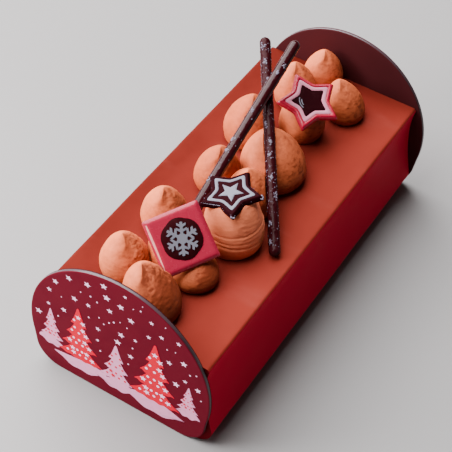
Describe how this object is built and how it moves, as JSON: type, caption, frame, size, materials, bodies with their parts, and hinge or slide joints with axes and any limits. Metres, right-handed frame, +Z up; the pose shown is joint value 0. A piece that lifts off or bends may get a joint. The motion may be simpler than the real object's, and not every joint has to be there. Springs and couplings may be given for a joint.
{
  "type": "yule log cake",
  "caption": "Glazed mousse log cake between upright end panels, topped with piped cream dollops, chocolate sticks, moulded stars and a square plaque.",
  "frame": {"origin": "centre of the cake's footprint, on the surface it stands on", "axes": "+Z up, +Y along the log from the printed front panel to the back panel, +X to the right seen from the front"},
  "size_m": [0.1, 0.2048, 0.0991],
  "materials": {
    "cocoa_glaze": "velvety red-brown cocoa spray over mousse, deeper red on the flanks",
    "chocolate_cream": "smooth piped milk chocolate cream, soft satin",
    "printed_panel": "burgundy panel with a printed winter design and a pale rim",
    "dark_chocolate": "glossy dark chocolate with pale bloom and speckles",
    "red_chocolate": "glossy red-coated chocolate with a pale pink band and a dark centre",
    "pink_chocolate": "satin pink chocolate with a dark printed patch and a pale snowflake"
  },
  "bodies": {
    "root": {"cake_body": "cocoa_glaze", "panel_front": "printed_panel", "panel_back": "printed_panel", "dollop_01": "chocolate_cream", "dollop_02": "chocolate_cream", "dollop_03": "chocolate_cream", "dollop_04": "chocolate_cream", "dollop_05": "chocolate_cream", "dollop_06": "chocolate_cream", "dollop_07": "chocolate_cream", "dollop_08": "chocolate_cream", "dollop_09": "chocolate_cream", "dollop_10": "chocolate_cream", "dollop_11": "chocolate_cream", "dollop_12": "chocolate_cream", "dollop_13": "chocolate_cream", "dollop_14": "chocolate_cream", "stick_lower": "dark_chocolate", "stick_upper": "dark_chocolate", "star_red": "red_chocolate", "star_dark": "dark_chocolate", "plaque": "pink_chocolate"}
  },
  "joints": []
}
